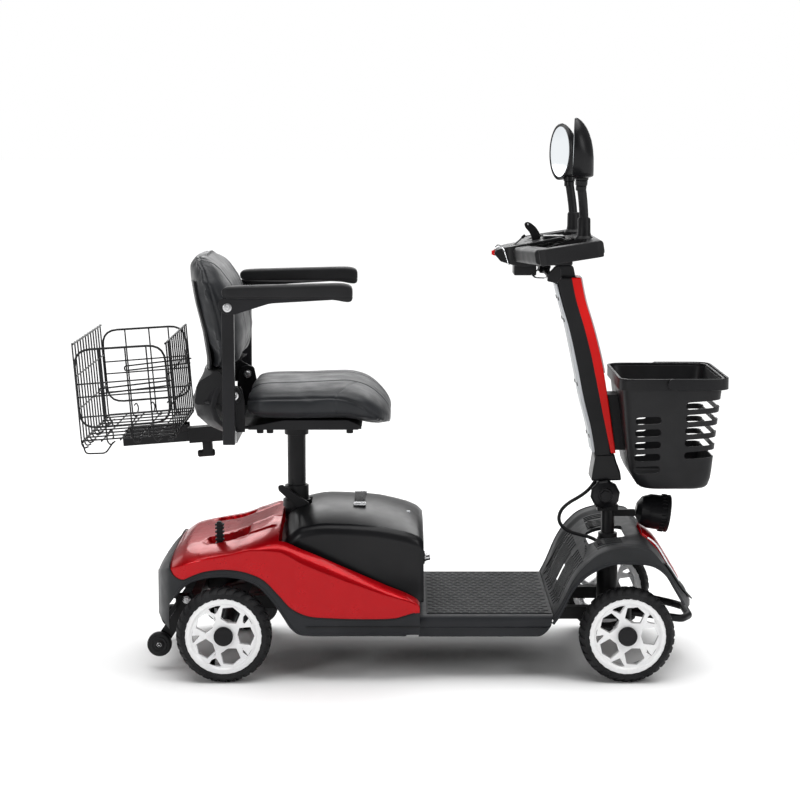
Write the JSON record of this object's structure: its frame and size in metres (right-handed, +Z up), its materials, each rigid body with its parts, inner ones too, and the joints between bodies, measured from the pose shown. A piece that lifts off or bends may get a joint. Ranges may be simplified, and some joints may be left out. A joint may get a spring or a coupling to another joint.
{
  "type": "mobility scooter",
  "caption": "Four-wheel travel mobility scooter with swivel seat, flip-up armrests, tilting tiller with closed handlebar, mirrors, front basket and rear wire basket",
  "frame": {"origin": "centre of the bounding box, on the floor that the four tyres stand on", "axes": "+X forward, towards the front basket; +Y to the rider's left; +Z up"},
  "size_m": [1.3188, 0.532, 1.1208],
  "materials": {
    "tyre_rubber": "treaded rubber",
    "rim_white": "white gloss paint",
    "frame_black": "black powder coat",
    "bar_black": "satin black powder coat",
    "steel": "bright zinc",
    "red_gloss": "metallic red gloss",
    "black_plastic": "fine grained black",
    "grey_plastic": "dark grey, fine grained",
    "light_grey": "light grey satin",
    "black_gloss": "black semi gloss",
    "mat_rubber": "ribbed rubber",
    "leatherette": "grey black leatherette",
    "webbing": "woven strap",
    "cells": "wrapped cells",
    "cast_grey": "dark cast housing",
    "wire_black": "black coated wire",
    "cord_rubber": "black sleeve",
    "foam_rubber": "soft black"
  },
  "bodies": {
    "chassis": {"front_frame": "frame_black", "rear_frame": "frame_black", "deck_pan": "grey_plastic", "deck_mat": "mat_rubber", "front_cowl": "grey_plastic", "nose_panel": "red_gloss", "rear_body": "red_gloss", "rear_skirt": "grey_plastic", "battery_case": "black_plastic", "battery_cells": "cells", "battery_strap": "webbing", "charge_socket": "steel", "transaxle": "cast_grey", "anti_tip_arms": "frame_black"},
    "freewheel": {"freewheel_lever": "black_plastic"},
    "release": {"release_lever": "black_plastic"},
    "column": {"steering_column": "frame_black", "headlight_shell": "black_plastic", "tiller_cable": "cord_rubber"},
    "tie": {"tie_rod": "steel"},
    "tiller": {"tiller_cover": "black_plastic", "tiller_stripe": "red_gloss", "tiller_panel": "light_grey", "handlebar": "bar_black", "grips": "foam_rubber", "dash": "black_plastic", "front_basket": "black_plastic", "basket_bracket": "black_plastic"},
    "knob": {"tilt_knob": "black_gloss"},
    "throttle": {"throttle_lever": "black_plastic"},
    "selector": {"selector_lever": "black_plastic"},
    "key": {"ignition_key": "steel"},
    "horn": {"horn_button": "red_gloss"},
    "bail": {"basket_handle": "black_plastic"},
    "post": {"seat_post": "bar_black"},
    "seat": {"seat_frame": "frame_black", "seat_cushion": "leatherette", "rear_bar": "bar_black", "rear_basket": "wire_black"},
    "back": {"seat_back": "leatherette"},
    "rear_right_wheel": {"rear_right_tyre": "tyre_rubber", "rear_right_rim": "rim_white"},
    "front_right_wheel": {"front_right_tyre": "tyre_rubber", "front_right_rim": "rim_white"},
    "anti_tip_right": {"anti_tip_wheel_right": "foam_rubber"},
    "right_knuckle": {"knuckle_right": "steel"},
    "right_arm_post": {"arm_post_right": "frame_black"},
    "right_armrest": {"armrest_right": "foam_rubber"},
    "right_mirror_stem": {"mirror_stem_right": "bar_black"},
    "right_mirror": {"mirror_head_right": "black_gloss"},
    "rear_left_wheel": {"rear_left_tyre": "tyre_rubber", "rear_left_rim": "rim_white"},
    "front_left_wheel": {"front_left_tyre": "tyre_rubber", "front_left_rim": "rim_white"},
    "anti_tip_left": {"anti_tip_wheel_left": "foam_rubber"},
    "left_knuckle": {"knuckle_left": "steel"},
    "left_arm_post": {"arm_post_left": "frame_black"},
    "left_armrest": {"armrest_left": "foam_rubber"},
    "left_mirror_stem": {"mirror_stem_left": "bar_black"},
    "left_mirror": {"mirror_head_left": "black_gloss"}
  },
  "joints": [
    {"name": "steer", "type": "hinge", "parent": "chassis", "child": "column", "pos_m": [0.428, 0, 0.2], "axis": [0, 0, 1], "range_deg": [-30, 30]},
    {"name": "tiller_tilt", "type": "hinge", "parent": "column", "child": "tiller", "pos_m": [0.417, 0, 0.35], "axis": [0, 1, 0], "range_deg": [-12, 8], "deforming": ["tiller_cable"]},
    {"name": "tilt_knob_turn", "type": "hinge", "parent": "tiller", "child": "knob", "pos_m": [0.417, 0, 0.35], "axis": [0, 1, 0], "continuous": true},
    {"name": "kingpin_right", "type": "hinge", "parent": "chassis", "child": "right_knuckle", "pos_m": [0.447, -0.165, 0.135], "axis": [0, 0, 1], "range_deg": [-30, 30]},
    {"name": "kingpin_left", "type": "hinge", "parent": "chassis", "child": "left_knuckle", "pos_m": [0.447, 0.165, 0.135], "axis": [0, 0, 1], "range_deg": [-30, 30]},
    {"name": "tie_rod_pivot", "type": "hinge", "parent": "right_knuckle", "child": "tie", "pos_m": [0.387, -0.165, 0.084], "axis": [0, 0, 1], "range_deg": [-30, 30]},
    {"name": "front_right_spin", "type": "hinge", "parent": "right_knuckle", "child": "front_right_wheel", "pos_m": [0.447, -0.22, 0.096], "axis": [0, 1, 0], "continuous": true},
    {"name": "rear_right_spin", "type": "hinge", "parent": "chassis", "child": "rear_right_wheel", "pos_m": [-0.361, -0.22, 0.096], "axis": [0, 1, 0], "continuous": true},
    {"name": "anti_tip_right_spin", "type": "hinge", "parent": "chassis", "child": "anti_tip_right", "pos_m": [-0.502, -0.125, 0.052], "axis": [0, 1, 0], "continuous": true},
    {"name": "mirror_right_swing", "type": "hinge", "parent": "tiller", "child": "right_mirror_stem", "pos_m": [0.36, -0.13, 0.88], "axis": [0, 0, 1], "range_deg": [-45, 45]},
    {"name": "mirror_right_tilt", "type": "hinge", "parent": "right_mirror_stem", "child": "right_mirror", "pos_m": [0.352, -0.15, 0.992], "axis": [0, 1, 0], "range_deg": [-6, 12]},
    {"name": "arm_right_width", "type": "slide", "parent": "seat", "child": "right_arm_post", "axis": [0, -1, 0], "range_m": [0, 0.05]},
    {"name": "arm_right_flip", "type": "hinge", "parent": "right_arm_post", "child": "right_armrest", "pos_m": [-0.345, -0.24, 0.756], "axis": [0, -1, 0], "range_deg": [0, 95]},
    {"name": "front_left_spin", "type": "hinge", "parent": "left_knuckle", "child": "front_left_wheel", "pos_m": [0.447, 0.22, 0.096], "axis": [0, 1, 0], "continuous": true},
    {"name": "rear_left_spin", "type": "hinge", "parent": "chassis", "child": "rear_left_wheel", "pos_m": [-0.361, 0.22, 0.096], "axis": [0, 1, 0], "continuous": true},
    {"name": "anti_tip_left_spin", "type": "hinge", "parent": "chassis", "child": "anti_tip_left", "pos_m": [-0.502, 0.125, 0.052], "axis": [0, 1, 0], "continuous": true},
    {"name": "mirror_left_swing", "type": "hinge", "parent": "tiller", "child": "left_mirror_stem", "pos_m": [0.36, 0.13, 0.88], "axis": [0, 0, 1], "range_deg": [-45, 45]},
    {"name": "mirror_left_tilt", "type": "hinge", "parent": "left_mirror_stem", "child": "left_mirror", "pos_m": [0.352, 0.15, 0.992], "axis": [0, 1, 0], "range_deg": [-6, 12]},
    {"name": "arm_left_width", "type": "slide", "parent": "seat", "child": "left_arm_post", "axis": [0, 1, 0], "range_m": [0, 0.05]},
    {"name": "arm_left_flip", "type": "hinge", "parent": "left_arm_post", "child": "left_armrest", "pos_m": [-0.345, 0.24, 0.756], "axis": [0, -1, 0], "range_deg": [0, 95]},
    {"name": "freewheel_throw", "type": "hinge", "parent": "chassis", "child": "freewheel", "pos_m": [-0.375, -0.13, 0.236], "axis": [0, 1, 0], "range_deg": [-25, 0]},
    {"name": "release_throw", "type": "hinge", "parent": "chassis", "child": "release", "pos_m": [-0.204, -0.036, 0.322], "axis": [0, 1, 0], "range_deg": [0, 35], "stiffness_Nm_per_rad": 0.6},
    {"name": "seat_height", "type": "slide", "parent": "chassis", "child": "post", "axis": [0, 0, 1], "range_m": [0, 0.06]},
    {"name": "seat_swivel", "type": "hinge", "parent": "post", "child": "seat", "pos_m": [-0.224, 0, 0.49], "axis": [0, 0, 1], "continuous": true},
    {"name": "backrest_fold", "type": "hinge", "parent": "seat", "child": "back", "pos_m": [-0.338, 0, 0.575], "axis": [0, 1, 0], "range_deg": [0, 60]},
    {"name": "throttle_wig_wag", "type": "hinge", "parent": "tiller", "child": "throttle", "pos_m": [0.291, 0, 0.814], "axis": [0, 0, 1], "range_deg": [-18, 18], "stiffness_Nm_per_rad": 0.6},
    {"name": "selector_turn", "type": "hinge", "parent": "tiller", "child": "selector", "pos_m": [0.27, 0.018, 0.862], "axis": [0, 1, 0], "range_deg": [-20, 20]},
    {"name": "key_turn", "type": "hinge", "parent": "tiller", "child": "key", "pos_m": [0.223, -0.018, 0.8622], "axis": [0.7474, 0, 0.6644], "range_deg": [0, 60]},
    {"name": "horn_press", "type": "slide", "parent": "tiller", "child": "horn", "axis": [1, 0, 0], "range_m": [0, 0.003], "stiffness_N_per_m": 400},
    {"name": "bail_lift", "type": "hinge", "parent": "tiller", "child": "bail", "pos_m": [0.542, 0, 0.592], "axis": [0, -1, 0], "range_deg": [0, 100]}
  ],
  "couplings": [
    {"joint": "kingpin_right", "follows": "steer", "ratio": 1},
    {"joint": "kingpin_left", "follows": "steer", "ratio": 1},
    {"joint": "tie_rod_pivot", "follows": "steer", "ratio": -1}
  ]
}
